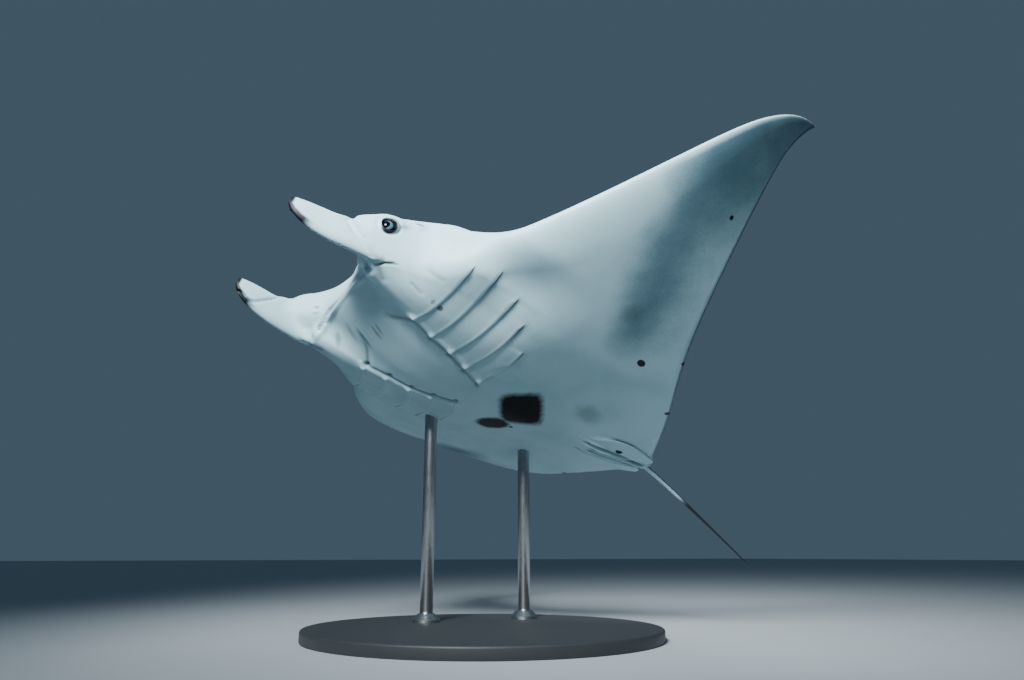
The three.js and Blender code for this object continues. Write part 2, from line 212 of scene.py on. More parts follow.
def through(rows, position, before, after):
    """A smooth curve through rows of numbers, at fractional row positions."""
    padded = np.vstack([before, rows, after])
    i = np.clip(position.astype(int), 0, len(rows) - 2)
    s = (position - i)[:, None]
    start, end = padded[i + 1], padded[i + 2]
    slope_in, slope_out = (end - padded[i]) / 2, (padded[i + 3] - start) / 2
    return ((2 * s**3 - 3 * s**2 + 1) * start + (s**3 - 2 * s**2 + s) * slope_in
            + (-2 * s**3 + 3 * s**2) * end + (s**3 - s**2) * slope_out)


def leading_x(y):
    """Front edge of the left wing: a shoulder at the root, then a sweep that grows to the tip."""
    u = (y - WING_ROOT) / (HALF_SPAN - WING_ROOT)
    return ROOT_X + SHOULDER * np.exp(-u / .06) - .577 * u - .157 * u**4 - .139 * u**12


def trailing_x(y):
    """Rear edge, from the tail root to the wing tip."""
    v = y / HALF_SPAN
    return (-1.515 + 1.279 * v - 1.064 * v**2 + .310 * v**3 - .215 * v**9
            - .045 * bell(y - .245, .245))


def chord_front(y):
    """Where the body begins at a distance y from its middle: the mouth, then the wing's edge."""
    return mix(-.080, leading_x(np.maximum(y, WING_ROOT)), smooth(.180, WING_ROOT, y))


def wing_rows(y):
    """Rows like the head outline's, round the wing."""
    front = leading_x(y)
    edge_height = SHOULDER_HEIGHT * (1 - smooth(WING_ROOT, .625, y))
    return np.stack([front, y, mix(front, trailing_x(y), 1 / 3), y, y, edge_height], axis=1)


def outline_rows(number):
    """Rows of the whole outline at fractional stations, counted from the middle of the mouth."""
    mirrored_first = HEAD_OUTLINE[1] * (1, -1, 1, -1, -1, 1)
    head = through(HEAD_OUTLINE, np.minimum(number, HEAD_LAST), mirrored_first,
                   wing_rows(np.array([.500]))[0])
    wing_y = np.maximum(WING_ROOT, WING_ROOT + (number - HEAD_LAST) * STATION_PITCH)
    return np.where((number < HEAD_LAST)[:, None], head, wing_rows(wing_y))


def nose_rise(number, from_front, chord, top):
    """How far the skin has risen from the front edge: 0 there to 1 well behind it.  The front
    between the horns is blunt and then rises slowly; elsewhere the edge is round."""
    wingness = smooth(.85 * HEAD_LAST, 1.5 * HEAD_LAST, number)
    full = quarter_round(from_front / mix(.085, .33 * chord + .001, wingness))
    blunt = quarter_round(from_front / .030)
    slow = np.where(top, 1 - (1 - np.clip(from_front / .380, 0, 1)) ** 1.6,
                    quarter_round(from_front / .350))
    return mix(mix(slow, blunt, np.where(top, .5, .45)), full, smooth(2.5, 5.5, number))


def skin_rise(x, y, from_front, from_rear, nose, top):
    """How far the back or the belly stands off the middle sheet of the disc."""
    behind = (chord_front(y) - x) / np.maximum(chord_front(y) - trailing_x(y), 1e-5)
    fall = 1 - np.clip((behind - .3) / .7, 0, 1) ** 1.7
    wing = .004 + .112 * (1 - np.minimum(1, np.hypot(y, .090) / HALF_SPAN)) ** 1.5
    rim = .0035 * quarter_round(from_front / .005) * quarter_round(from_rear / .004)
    ahead = x > HUMP_X
    back_hump = .080 * bell(x - HUMP_X, np.where(ahead, .360, .520)) * bell(y, .370, 2.4)
    belly_hump = .075 * bell(x - HUMP_X, np.where(ahead, .390, .560)) * bell(y, .340, 2.6)
    hump = np.where(top, back_hump, belly_hump)
    tail_root = np.where(top, .020, .030) * bell(x + 1.230, .230) * bell(y, .130)
    flank = np.where(top, 0, .060) * bell(x + .300, .170) * bell(y - .370, .120)
    return (wing * np.where(top, .95, .85) * nose * fall + hump * np.sqrt(fall) * nose
            + tail_root * quarter_round(from_rear / .070)
            + flank * quarter_round(from_front / .050) + rim)


def disc_point(station, t, side):
    """Points of the disc.  station: outline position, left positive; t: 0 front edge to 1 rear
    edge; side: +1 back, -1 belly."""
    mirror = np.where(station < 0, -1.0, 1.0)
    number = np.abs(station)
    front_x, front_y, bend_x, bend_y, rear_y, edge_z = outline_rows(number).T
    rear_x = trailing_x(rear_y)
    s = 1 - t
    weights = (s**3, 3 * s * s * t, 3 * s * t * t, t**3)
    x = (weights[0] * front_x + weights[1] * bend_x + weights[2] * mix(rear_x, front_x, 1 / 3)
         + weights[3] * rear_x)
    y = weights[0] * front_y + weights[1] * bend_y + (weights[2] + weights[3]) * rear_y
    from_front = np.hypot(x - front_x, y - front_y)
    from_rear = np.hypot(x - rear_x, y - rear_y)
    chord = np.hypot(rear_x - front_x, rear_y - front_y)
    top = side > 0
    nose = nose_rise(number, from_front, chord, top)
    rise = skin_rise(x, y, from_front, from_rear, nose, top)
    z = edge_z * (1 - smooth(0, .5, t)) + side * rise - TIP_DROOP * smooth(1.300, HALF_SPAN, y)
    # the corner of the mouth is hollow under the root of the horn
    hollow = .072 * bell(y - .240, .042) * smooth(-.025, -.080, z) * smooth(-.150, -.010, x)
    return np.stack([x - hollow, mirror * y, z], axis=1)


# ------------------------------------------------------------------ bend and pose
BEND_ROOT_LENGTH = .150  # over which the bend at the root builds up
BEND_STEPS = 400
TWIST_AXIS_X = -.750
BODY_CENTRE = Vector((-.700, 0, 0))


def bend_wings(points, pose):
    """Bends and twists both wings of the flat animal."""
    reach = HALF_SPAN - pose.bend_start
    stations = np.linspace(0, 1.1 * reach, BEND_STEPS)

    def angle(out, at_root):
        u = out / reach
        return (at_root * (1 - np.exp(-out / BEND_ROOT_LENGTH))
                + pose.bend_linear * u + pose.bend_square * u * u)

    def bent(x, y, z, at_root):
        step = stations[1]
        middles = angle(stations[:-1] + step / 2, at_root)
        along = np.concatenate([[0], np.cumsum(np.cos(middles)) * step])
        upward = np.concatenate([[0], np.cumsum(np.sin(middles)) * step])
        out = np.maximum(0, y - pose.bend_start)
        turn = angle(out, at_root)
        twist = -pose.twist * (out / reach) ** 2
        ahead = x - TWIST_AXIS_X
        twisted_x = ahead * np.cos(twist) - z * np.sin(twist)
        twisted_z = ahead * np.sin(twist) + z * np.cos(twist)
        side = (np.minimum(y, pose.bend_start) + np.interp(out, stations, along)
                - twisted_z * np.sin(turn))
        height = np.interp(out, stations, upward) + twisted_z * np.cos(turn)
        return np.stack([TWIST_AXIS_X + twisted_x, side, height], axis=1)

    x, y, z = points.T
    right = (y < 0)[:, None]
    return np.where(right, bent(x, -y, z, pose.bend_right) * (1, -1, 1),
                    bent(x, y, z, pose.bend_left))


def pose_matrix(pose):
    """From the animal's own frame to the model's: it heads along -Y, its left wing towards +X."""
    forward = Vector((0, -math.cos(pose.pitch), math.sin(pose.pitch)))
    level = Vector((0, math.sin(pose.pitch), math.cos(pose.pitch)))
    left = Vector((1, 0, 0)) * math.cos(pose.bank) + level * math.sin(pose.bank)
    turn = Matrix((forward, left, forward.cross(left))).transposed()
    centre = Vector((0, 0, pose.height)) - turn @ BODY_CENTRE
    return Matrix.Translation(centre) @ turn.to_4x4()


def place(points, pose):
    """From the flat animal to the posed model."""
    bent = bend_wings(np.asarray(points, float), pose)
    matrix = np.array(pose_matrix(pose))
    return bent @ matrix[:3, :3].T + matrix[:3, 3]


# ------------------------------------------------------------------ mesh helpers
def vectors(mesh, name):
    flat = np.empty(len(mesh.vertices) * 3)
    mesh.vertices.foreach_get(name, flat)
    return flat.reshape(-1, 3)


def set_coordinates(mesh, points):
    mesh.vertices.foreach_set("co", np.ascontiguousarray(points, dtype=np.float32).ravel())
    mesh.update()


def store(mesh, name, values):
    """Keeps one number, or one vector, per vertex for the material to read."""
    kind, field = ("FLOAT", "value") if values.ndim == 1 else ("FLOAT_VECTOR", "vector")
    attribute = mesh.attributes.new(name, kind, "POINT")
    attribute.data.foreach_set(field, np.ascontiguousarray(values, dtype=np.float32).ravel())


def cell_grid(bm, columns, rows):
    """A flat grid of one-metre cells, counted from its middle."""
    scale = Matrix.Diagonal((columns / 2, rows / 2, 1, 1))
    bmesh.ops.create_grid(bm, x_segments=columns, y_segments=rows, size=1, matrix=scale)


LENGTHWISE, CROSSWISE = {"row to row"}, {"column to column"}


def refine(bm, columns, rows, cuts, directions):
    """Cuts the cell edges that run in given directions and whose middle lies between two
    columns, left or right, and two rows."""
    chosen = []
    for edge in bm.edges:
        start, end = edge.verts[0].co, edge.verts[1].co
        column, row = abs(start.x + end.x) / 2, (start.y + end.y) / 2
        inside = columns[0] < column < columns[1] and rows[0] < row < rows[1]
        direction = CROSSWISE if abs(start.y - end.y) < 1e-4 else LENGTHWISE
        if inside and direction <= directions:
            chosen.append(edge)
    bmesh.ops.subdivide_edges(bm, edges=chosen, cuts=cuts, use_grid_fill=True)


def shape_cells(bm, shape):
    """Moves every vertex from its cell to shape(column, row), and closes the seams."""
    verts = list(bm.verts)
    cells = np.array([vert.co[:2] for vert in verts])
    for vert, point in zip(verts, shape(cells[:, 0], cells[:, 1])):
        vert.co = point
    bmesh.ops.remove_doubles(bm, verts=bm.verts, dist=MERGE)
    bmesh.ops.dissolve_degenerate(bm, dist=TINY, edges=bm.edges)
    bmesh.ops.recalc_face_normals(bm, faces=bm.faces)


def emboss(bm, relief):
    """Moves every vertex along its normal by relief(points, normals)."""
    bm.normal_update()
    points = np.array([vert.co for vert in bm.verts])
    normals = np.array([vert.normal for vert in bm.verts])
    moved = points + normals * relief(points, normals)[:, None]
    for vert, point in zip(bm.verts, moved):
        vert.co = point


def to_object(bm, name, sharp_above=math.pi):
    """Makes an object of the mesh, smooth but for edges that turn by more than an angle."""
    mesh = bpy.data.meshes.new(name)
    for face in bm.faces:
        face.smooth = True
    for edge in bm.edges:
        edge.smooth = edge.calc_face_angle(0) < sharp_above
    bm.to_mesh(mesh)
    bm.free()
    made = bpy.data.objects.new(name, mesh)
    bpy.context.scene.collection.objects.link(made)
    return made


def away_from(points, path):
    """Distance of each point from a path, and how far along the path its nearest place is."""
    path = np.array(path, float)
    nearest = np.full(len(points), 1e9)
    place_along = np.zeros(len(points))
    for i in range(len(path) - 1):
        step = path[i + 1] - path[i]
        s = np.clip((points - path[i]) @ step / (step @ step), 0, 1)
        distance = np.linalg.norm(points - path[i] - s[:, None] * step, axis=1)
        closer = distance < nearest
        nearest = np.where(closer, distance, nearest)
        place_along = np.where(closer, (i + s) / (len(path) - 1), place_along)
    return nearest, place_along


# ------------------------------------------------------------------ features of the skin
# Left half only, in the flat frame; the right half mirrors them.
MOUTH = ((-.101, .000, -.042), (-.101, .070, -.044), (-.102, .112, -.050), (-.104, .160, -.068),
         (-.110, .194, -.082), (-.116, .235, -.099), (-.110, .270, -.108), (-.129, .289, -.097),
         (-.152, .300, -.089), (-.180, .309, -.090))
MOUTH_CORNER = MOUTH[-4:]
CORNER_FOLD = ((-.122, .268, -.108), (-.130, .264, -.112), (-.153, .247, -.120))
HORN_FOLD = ((.022, .288, -.020), (-.003, .300, -.048), (-.036, .306, -.070),
             (-.062, .303, -.083), (-.088, .297, -.094))
HORN_WEB = ((.036, .252, -.012), (-.002, .236, -.014), (-.012, .214, -.006))
HORN_PIT = (-.073, .300, -.070)
NOSTRIL = (-.066, .171, -.028)
SPIRACLE = (-.180, .088)  # x, z
GILL_LINE = tuple((x, y) for _, _, x, y in GILLS)
# Folds that run to the vent.  A path seen from below, and its depth
VENT_FOLDS = ((((-1.175, .027), (-1.260, .030), (-1.343, .030), (-1.470, .012)), .010),
              (((-1.230, .008), (-1.300, .009), (-1.397, .010), (-1.479, .008)), .008))
# Shallow creases of the throat.  A path seen from below, its depth, its width, how dark the painted
# shade in it is
CREASES = ((((-.279, .283), (-.252, .288), (-.228, .292)), .0016, .006, .30),
           (((-.311, .355), (-.241, .345)), .0016, .006, .30),
           (((-.318, .168), (-.277, .112), (-.232, .072)), .0035, .007, .60))


def fold_sides(points):
    """Mirrors every point to the left half."""
    return points * (1, 0, 1) + np.abs(points) * (0, 1, 0)


def follow(path, known, start, end):
    """One coordinate of a path, by number, at known values of another."""
    path = np.array(sorted(path, key=lambda point: point[start]))
    return np.interp(known, path[:, start], path[:, end])


def gill_positions(half):
    """For each slit: how far points lie ahead of it, and how far along it from its outer end."""
    for outer_x, outer_y, inner_x, inner_y in GILLS:
        s = (outer_y - half[:, 1]) / (outer_y - inner_y)
        yield half[:, 0] - (mix(outer_x, inner_x, s) - GILL_BOW * s * (1 - s)), s


def spot(points, centre, size):
    return bell(np.linalg.norm(points - np.array(centre), axis=1), size)


def oval(across, up, width, height):
    return bell(np.hypot(across / width, up / height), 1)


def gill_relief(half):
    """Flaps that step down to their slits, and the row of nubs and pits at the inner ends."""
    x, y, _ = half.T
    plan = half[:, :2]
    rise = np.zeros(len(half))
    for ahead, s in gill_positions(half):
        length = smooth(-.02, .06, s) * smooth(1, .90, s) * (y < GILL_REACH)
        step = mix(.65, 1, smooth(.5, .1, s))
        flap = .0024 * (1 - smooth(0, .080, ahead)) * smooth(-.0035, .0035, ahead)
        hollow = -.0014 * (1 - smooth(0, .045, -ahead)) * smooth(.0035, -.0035, ahead)
        rise += length * (step * (flap + hollow) + .0012 * bell(ahead - .007, .0045))
    line, _ = away_from(plan, GILL_LINE)
    ridge = .0035 * bell(line - .018, .013) * (y > follow(GILL_LINE, x, 0, 1))
    rise += (ridge - .0045 * bell(line, .0065)) * smooth(-.730, -.680, x) * smooth(-.250, -.300, x)
    for _, _, inner_x, inner_y in GILLS:
        rise += .0070 * spot(plan, (inner_x + .002, inner_y + .015), .011)
        rise -= .0110 * spot(plan, (inner_x + .001, inner_y - .006), .0075)
    return rise


def belly_relief(half):
    """Creases of the throat, and the folds that run to the vent with a lip outside each."""
    plan = half[:, :2]
    rise = np.zeros(len(half))
    for crease, depth, width, _ in CREASES:
        distance, s = away_from(plan, crease)
        rise -= depth * bell(distance, width) * smooth(1, .75, s)
    for fold, depth in VENT_FOLDS:
        distance, s = away_from(plan, fold)
        rise += smooth(0, .1, s) * (.0065 * bell(distance - .011, .006)
                                    - depth * bell(distance, .0050))
    return rise


def mouth_relief(half, below):
    """Both lips, the groove between them, its corner and the nostril."""
    lip, along_lip = away_from(half, MOUTH)
    under = half[:, 2] < follow(MOUTH, half[:, 1], 1, 2)
    lips = np.where(under, .008 * bell(lip - .014, .009), .0045 * bell(lip - .010, .006))
    rise = smooth(.66, .42, along_lip) * below * (lips - .013 * bell(lip, .0045))
    corner, along_corner = away_from(half, MOUTH_CORNER)
    rise -= .0060 * bell(corner, .0045) * smooth(1, .6, along_corner)
    rise -= .0020 * bell(away_from(half, CORNER_FOLD)[0], .011)
    nostril = np.linalg.norm(half - NOSTRIL, axis=1)
    return rise + .005 * bell(nostril - .014, .006) - .012 * bell(nostril, .0065)


def behind_fold(half):
    """How far points lie behind the line between the ends of the fold under the horn."""
    return follow((HORN_FOLD[0], HORN_FOLD[-1]), half[:, 2], 2, 0) - half[:, 0]


def eye_relief(half):
    """The fold under the horn, the eye's brow, rims and socket, and the spiracle."""
    fold, _ = away_from(half, HORN_FOLD)
    rise = .0062 * bell(fold, .0055) - .0045 * bell(fold - .013, .007) * (behind_fold(half) < 0)
    dx, _, dz = (half - EYE).T
    from_eye = np.hypot(dx, dz)
    rise += (.006 * bell(from_eye, .060) + .0040 * bell(from_eye - .0290, .0045)
             - .0030 * bell(from_eye - .0400, .0045) + .007 * oval(dx, dz - .044, .045, .014)
             - .036 * (1 - smooth(.0205, .0255, from_eye)))
    slit_x, slit_z = half[:, 0] - SPIRACLE[0], half[:, 2] - SPIRACLE[1]
    return (rise - .011 * oval(slit_x, slit_z, .012, .0070)
            + .008 * oval(slit_x, slit_z + .018, .016, .009))


def skin_relief(points, normals):
    """How far each point of the skin stands out from its plain shape."""
    half = fold_sides(points)
    below = smooth(.4, .1, normals[:, 2])
    aside = smooth(.15, .35, normals[:, 1] * np.sign(points[:, 1])) * (half[:, 1] > .2)
    return (below * (gill_relief(half) + belly_relief(half)) + mouth_relief(half, below)
            + aside * eye_relief(half))


# ------------------------------------------------------------------ the disc and head
CELLS_PER_STATION = 8
HEAD_COLUMNS = HEAD_LAST * CELLS_PER_STATION
WING_COLUMNS = 60
SIDE_ROWS = 80
# Where the grid is cut finer: columns, rows, number of cuts and the edges that are cut
FINE_ZONES = (
    ((-1, HEAD_COLUMNS + 5), (-54, -28), 3, LENGTHWISE),  # gills
    ((47, 76), (-9.5, 9.5), 2, LENGTHWISE | CROSSWISE),  # eye and root of the horn
    ((-1, 47), (-17, -2), 2, LENGTHWISE),  # mouth
    ((-1, 30), (-79.5, -62), 2, CROSSWISE),  # vent
    ((47, 68), (-30, -17.5), 2, LENGTHWISE | CROSSWISE),  # corner of the mouth
)


def column_station(column):
    """Outline position of a grid column: even round the head, wider apart along the wings."""
    out = np.maximum(0, np.abs(column) - HEAD_COLUMNS)
    growth = (WING_STATIONS - WING_COLUMNS / CELLS_PER_STATION) / WING_COLUMNS**2
    number = np.minimum(np.abs(column), HEAD_COLUMNS) / CELLS_PER_STATION
    return np.sign(column) * (number + out / CELLS_PER_STATION + growth * out * out)


def row_fraction(row):
    """Front-to-rear fraction of a grid row: closest together at the front edge."""
    s = np.abs(row) / SIDE_ROWS
    return s * s * (1.5 - .5 * s)


def disc_sheet(bm):
    """The disc and head as one closed skin; rows above the middle are the back."""
    cell_grid(bm, 2 * (HEAD_COLUMNS + WING_COLUMNS), 2 * SIDE_ROWS)
    for zone in FINE_ZONES:
        refine(bm, *zone)

    def shape(column, row):
        side = np.where(row >= 0, 1.0, -1.0)
        points = disc_point(column_station(column), row_fraction(row), side)
        points[:, 1] *= 1 - TIP_DRAW * smooth(1.2, HALF_SPAN, np.abs(points[:, 1]))
        return points

    shape_cells(bm, shape)


# ------------------------------------------------------------------ what joins the disc
# The free edge of the horn's roll, on its inner side.  x, z
ROLL_EDGE = ((.060, -.012), (.078, -.030), (.103, -.058), (.127, -.082), (.149, -.090),
             (.191, -.074))


def horn_sheet(bm, mirror):
    """A horn fin: a flat oval tube, closed at both ends.  On its inner side the last turn of
    the roll lies over the rest and ends in a step."""
    around, along = 68, 84
    last = len(HORN_ROWS) - 1
    tip = HORN_ROWS[-1] + (.0035, -.006, .006, 0, -.0025)
    cell_grid(bm, around, along)

    def shape(column, row):
        turn = 2 * math.pi * column / around
        v = row / along + .5
        position = last * (1 - (1 - v) ** 1.5)
        rows = through(HORN_ROWS, np.minimum(position, last), HORN_ROWS[0], tip)
        x, top, bottom, y, thick = rows.T
        close = quarter_round(v / .02) * quarter_round((1 - v) / .012)
        high = (top - bottom) / 2 * close
        z = (top + bottom) / 2 + high * np.sin(turn)
        inner = smooth(.1, -.3, np.cos(turn)) * smooth(.055, .085, x) * close
        over = z - follow(ROLL_EDGE, x, 0, 1)
        step = np.where(over > 0, .004, -.005 * (1 - smooth(0, .018, -over)))
        across = thick * close * np.cos(turn) - inner * step
        return np.stack([x, mirror * (y + across), z], axis=1)

    shape_cells(bm, shape)


def ring_tube(bm, around, along, rings):
    """A closed tube: rings(v) gives centre x, y, z, half width and half height at v from 0 to 1,
    with the across and high directions lying along y and z."""
    cell_grid(bm, around, along)

    def shape(column, row):
        turn = 2 * math.pi * column / around
        v = np.clip(row / along + .5, 0, 1)
        x, y, z, wide, high = rings(v)
        close = quarter_round(v / .03) * quarter_round((1 - v) / .03)
        return np.stack([x, y + wide * close * np.cos(turn), z + high * close * np.sin(turn)],
                        axis=1)

    shape_cells(bm, shape)


def pelvic_sheet(bm, mirror):
    """A flat pelvic fin that lies beside the tail root, widest behind its middle."""
    def rings(v):
        swell = np.sin(math.pi * mix(.04, .93, v**.8))
        y = PELVIC["inner"] + PELVIC["width"] * mix(.62, .4, v) * mix(.5, 1, swell)
        wide = PELVIC["width"] * .5 * swell + .002
        return (mix(PELVIC["front"], PELVIC["rear"], v), mirror * y, mix(-.079, -.014, v), wide,
                PELVIC["half"] * swell + .002)

    ring_tube(bm, 48, 56, rings)


def dorsal_sheet(bm):
    """A low leaning blade in front of the tail; the flat ends of its tube are filled."""
    length = DORSAL["front"] - DORSAL["rear"]
    around, along = 40, 20
    cell_grid(bm, around, along)

    def shape(column, row):
        turn = 2 * math.pi * column / around
        v = row / along + .5
        middle = DORSAL["front"] - .062 * v**1.3 - length * .5 * (1 - .15 * v)
        half = (length * (1 - v) ** .75 * .5 + .009) * quarter_round((1 - v) / .05)
        thick = DORSAL["half"] * (1 - .75 * v) * quarter_round((1 - v) / .05)
        return np.stack([middle - half * np.cos(turn), thick * np.sin(turn),
                         mix(.012, DORSAL["height"] + .024, v)], axis=1)

    shape_cells(bm, shape)
    bmesh.ops.holes_fill(bm, edges=[edge for edge in bm.edges if edge.is_boundary])


def tail_sheet(bm):
    """The whip tail: a thin tube that tapers and droops."""
    def rings(v):
        radius = mix(TAIL["tip"], TAIL["root"], (1 - v) ** 1.5)
        return (mix(TAIL["front"], TAIL["rear"], v), 0 * v, -.004 - TAIL["droop"] * v**1.15, radius,
                radius * .85)

    ring_tube(bm, 20, 110, rings)


def solid(name, number, build, *arguments):
    """A closed piece whose faces carry a number that tells the parts apart once joined."""
    bm = bmesh.new()
    build(bm, *arguments)
    for face in bm.faces:
        face.material_index = number
    return to_object(bm, name)


PARTS = range(5)
DISC, HORN, PELVIC_LOBE, DORSAL_BLADE, WHIP = PARTS


def marker(number):
    """A plain material that stands for a part of the body until the skin is whole."""
    name = f"part {number}"
    return bpy.data.materials.get(name) or bpy.data.materials.new(name)


def join(body, other):
    """Adds another closed piece to the body; each face keeps its number."""
    for piece in (body, other):
        while len(piece.data.materials) < len(PARTS):
            piece.data.materials.append(marker(len(piece.data.materials)))
    union = body.modifiers.new("join", "BOOLEAN")
    union.object = other
    union.operation = "UNION"
    union.solver = "EXACT"
    union.material_mode = "INDEX"
    mesh = bpy.data.meshes.new_from_object(
        body.evaluated_get(bpy.context.evaluated_depsgraph_get()))
    body.modifiers.remove(union)
    old = body.data
    body.data = mesh
    bpy.data.meshes.remove(old)
    bpy.data.objects.remove(other)


def soften_seams(bm):
    """Rounds the corners where the pieces meet, most of all round the roots of the horns."""
    bmesh.ops.remove_doubles(bm, verts=bm.verts, dist=MERGE)
    seam = [vert.co for vert in bm.verts
            if len({face.material_index for face in vert.link_faces}) > 1]
    points = np.array([vert.co for vert in bm.verts])
    squared = np.full(len(points), 1e9)
    for point in seam:
        squared = np.minimum(squared, ((points - point) ** 2).sum(axis=1))
    nearest = np.sqrt(squared)
    x, y, z = fold_sides(points).T
    at_horn = (x > -.16) * (y > .18)
    low = smooth(-.050, -.085, z)
    outer = smooth(.270, .295, y) * (z < -.030)
    reach = np.where(at_horn, mix(mix(.040, .012, low), .006, outer), .007)
    # the smaller shares of the reach are smoothed further
    for share, repeats in ((1, 26), (.7, 22), (.4, 12)):
        chosen = [vert for vert, near in zip(bm.verts, nearest < reach * share) if near]
        for _ in range(repeats):
            bmesh.ops.smooth_vert(bm, verts=chosen, factor=.5, use_axis_x=True, use_axis_y=True,
                                  use_axis_z=True)
    half = fold_sides(np.array([vert.co for vert in bm.verts]))
    lift = .031 * bell(away_from(half, HORN_WEB)[0], .027) * smooth(-.060, -.030, half[:, 2])
    for vert, rise in zip(bm.verts, lift):
        vert.co.z += rise
    bmesh.ops.dissolve_degenerate(bm, dist=TINY, edges=bm.edges)
    bmesh.ops.recalc_face_normals(bm, faces=bm.faces)


def finish_skin(mesh):
    """Softens the seams and adds the relief; returns the part each vertex belongs to."""
    bm = bmesh.new()
    bm.from_mesh(mesh)
    soften_seams(bm)
    emboss(bm, skin_relief)
    part = np.array([max(face.material_index for face in vert.link_faces) for vert in bm.verts])
    for face in bm.faces:
        face.smooth = True
        face.material_index = 0
    bm.to_mesh(mesh)
    bm.free()
    return part


# ------------------------------------------------------------------ markings
# Front of the grey band across the left wing, mirrored on the right one.  x, y
BAND_FRONT = ((-.890, .400), (-.873, .448), (-.855, .509), (-.825, .581), (-.797, .651),
              (-.769, .738), (-.742, .817), (-.732, .883), (-.719, .954), (-.705, 1.040),
              (-.700, 1.100))


def wing_smoke(half, from_rear):
    """Grey band across each wing, the veil behind it and the dark tip, fading at the front."""
    x, y, _ = half.T
    from_front = np.where(y > WING_ROOT, leading_x(np.maximum(y, WING_ROOT)) - x, 1)
    behind = follow(BAND_FRONT, y, 1, 0) - x
    core = bell(behind - mix(.100, .120, smooth(.5, 1.0, y)), .105) * smooth(.360, .580, y)
    veil = smooth(-.090, .110, behind) * smooth(.340, .660, y) * smooth(-.100, .100, from_rear)
    tip = smooth(.900, 1.190, y + .12 * behind)
    clear = (1 - .62 * core) * (1 - .42 * veil) * (1 - .46 * tip)
    return (1 - clear) * mix(.15, 1, smooth(.004, .030, from_front))


def slit_lines(half):
    """How far each point lies ahead of the nearest gill slit, and how dark the painted shade in
    that slit is.
    """
    slit, slit_ink = np.ones(len(half)), np.zeros(len(half))
    for ahead, s in gill_positions(half):
        dark = mix(.18, .85, smooth(.42, .02, s)) * smooth(-.02, .02, s) * smooth(1.01, .96, s)
        near = (half[:, 1] < GILL_REACH) * (np.abs(ahead) < .015)
        nearest = np.abs(ahead) < np.abs(slit)
        slit = np.where(nearest, ahead, slit)
        slit_ink = np.where(nearest, dark * near, slit_ink)
    return slit, slit_ink


def belly_painted_shade(half):
    """Painted shade on the gill flaps, in the pits and along the line of their inner ends, and in
    the throat's creases.
    """
    x, plan = half[:, 0], half[:, :2]
    marks = [.10 * smooth(.100, .020, ahead) * smooth(-.002, .004, ahead) * smooth(1.02, .7, s)
             * smooth(.2, .6, s) for ahead, s in gill_positions(half)]
    marks += [.85 * spot(plan, (inner_x - .002, inner_y - .006), .0070)
              for _, _, inner_x, inner_y in GILLS]
    line, _ = away_from(plan, GILL_LINE)
    marks.append(.50 * bell(line, .0050) * smooth(-.71, -.68, x) * smooth(-.27, -.31, x))
    for crease, _, width, dark in CREASES:
        distance, s = away_from(plan, crease)
        marks.append(dark * bell(distance, width * .8) * smooth(1, .6, s))
    return np.max(marks, axis=0)


def mouth_painted_shade(half):
    """Painted shade in the line of the mouth, darkest at its corner, in the fold by the corner, in
    the nostril and in the pit under the horn.
    """
    corner, along_corner = away_from(half, MOUTH_CORNER)
    return np.max([.70 * bell(away_from(half, MOUTH[:-3])[0], .0038),
                   .97 * bell(corner, .0048) * smooth(1.02, .55, along_corner),
                   .45 * bell(away_from(half, CORNER_FOLD)[0], .0110),
                   .85 * spot(half, NOSTRIL, .0065),
                   .75 * spot(half, HORN_PIT, .0065)], axis=0)


def eye_painted_shade(half, outward):
    """Painted shade on the rim of the eye's socket and round the eye, in the spiracle and beside
    the fold.
    """
    dx, _, dz = (half - EYE).T
    rim = (half[:, 1] > .255) * smooth(.0300, .0260, np.hypot(dx, (dz + .005) / 1.22))
    fold, _ = away_from(half, HORN_FOLD)
    shades = (.15 * bell(fold - .012, .007) * (behind_fold(half) > 0),
              .60 * bell(np.hypot(dx, dz) - .033, .0060) * smooth(.010, -.020, dx),
              .66 * bell(dx + .038, .024) * bell(dz - .016 + .35 * (dx + .038), .013),
              .95 * oval(half[:, 0] - SPIRACLE[0], half[:, 2] - SPIRACLE[1], .013, .0085))
    return np.maximum(rim, outward * (half[:, 1] > .26) * np.max(shades, axis=0))


def horn_ink(half):
    """Dark lower margin and tip of a horn fin."""
    x, _, z = half.T
    margin = smooth(.019, .010, z - follow(HORN_ROWS, x, 0, 2)) * smooth(.110, .155, x)
    return np.maximum(margin, smooth(.200, .209, x))


def back_share(x, upward, part):
    """1 on the dark upper side and 0 on the pale one; the tail darkens all round to its end."""
    back = (part == DISC) * smooth(.50, .72, upward) + (part == DORSAL_BLADE)
    back = back + (part == PELVIC_LOBE) * smooth(.2, .5, upward)
    tail = np.maximum(smooth(-.35, .05, upward), .8 * smooth(-1.46, -1.88, x))
    return np.clip(back + (part == WHIP) * tail, 0, 1)


def markings(points, normals, part):
    """What the skin's material reads, one number of each kind for every vertex."""
    half = fold_sides(points)
    x, y, _ = half.T
    disc = part == DISC
    under = normals[:, 2] < .25
    outward = normals[:, 1] * np.sign(points[:, 1]) > 0
    from_rear = x - trailing_x(np.minimum(y, HALF_SPAN))
    slit, slit_ink = slit_lines(half)
    # painted shade in the grooves of the folds that run to the vent
    vent = [.80 * bell(away_from(half[:, :2], fold)[0], .0045) for fold, _ in VENT_FOLDS]
    # dark marks of the skin: the horns' margins are their own colour, the rest is painted shade
    ink = [under * disc * belly_painted_shade(half), mouth_painted_shade(half), disc * eye_painted_shade(half, outward),
           under * np.max(vent, axis=0), (part == HORN) * horn_ink(half)]
    return {"smoke": disc * wing_smoke(half, from_rear), "ink": np.max(ink, axis=0),
            "back": back_share(x, normals[:, 2], part), "slit": slit,
            "slit_ink": under * disc * slit_ink,
            "from_rear": np.where(disc * (y > .06), from_rear, 1)}


